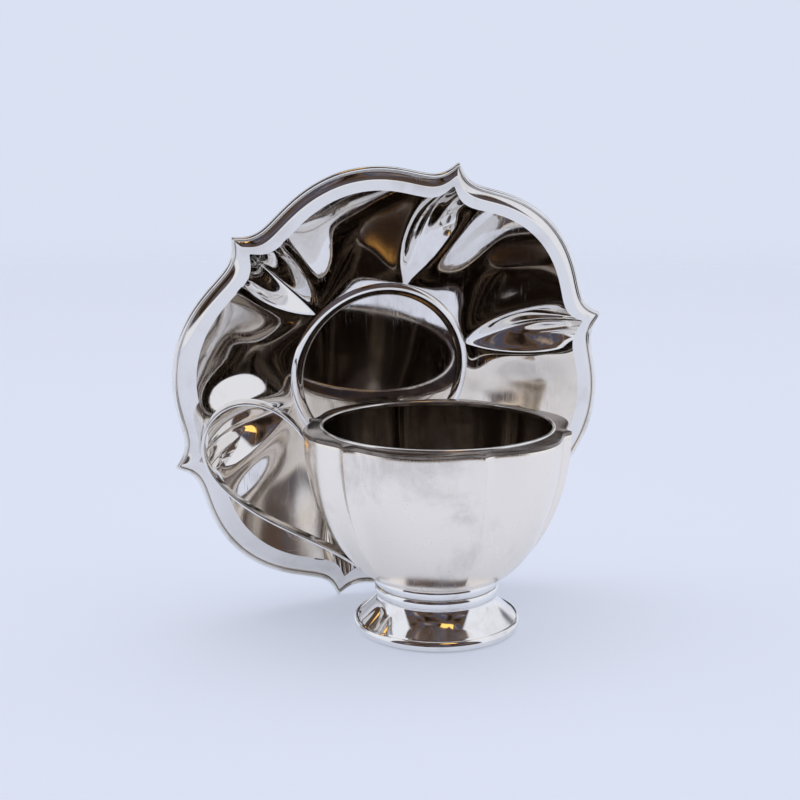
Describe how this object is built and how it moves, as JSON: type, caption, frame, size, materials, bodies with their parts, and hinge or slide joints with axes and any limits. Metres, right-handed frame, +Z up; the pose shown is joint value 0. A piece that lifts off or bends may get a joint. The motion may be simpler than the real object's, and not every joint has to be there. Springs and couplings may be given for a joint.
{
  "type": "cup and saucer",
  "caption": "Footed silver cup with fluted ogee lobes, a flat round-mouthed rim and a strap handle, with a matching lobed saucer leaning on it from behind.",
  "frame": {"origin": "centre of the cup's foot, on the table", "axes": "+Z up; the handle points towards -X; the saucer stands behind the cup, towards +Y"},
  "size_m": [0.1327, 0.0935, 0.1405],
  "materials": {
    "satin_silver": "silver, softly worn satin with fine scratches",
    "rim_silver": "silver, flat and polished with light tarnish",
    "bright_wire": "silver wire, polished by handling",
    "strap_silver": "silver strap, polished with small knocks",
    "foot_silver": "silver, spun and highly polished",
    "saucer_silver": "silver, mirror polish with fine scratches and warm tarnish"
  },
  "bodies": {
    "cup": {"bowl_shell": "satin_silver", "rim_band": "rim_silver", "mouth_bead": "bright_wire", "handle_strap": "strap_silver", "foot_collar": "foot_silver", "foot_pedestal": "foot_silver", "foot_bead": "foot_silver"},
    "saucer": {"saucer_plate": "saucer_silver", "saucer_edge_fillet": "bright_wire"}
  },
  "joints": [
    {"name": "saucer_tip", "type": "hinge", "parent": "cup", "child": "saucer", "pos_m": [-0.01718, 0.03137, 0.0007], "axis": [-0.9336, -0.3584, 0], "range_deg": [0, 64]}
  ]
}
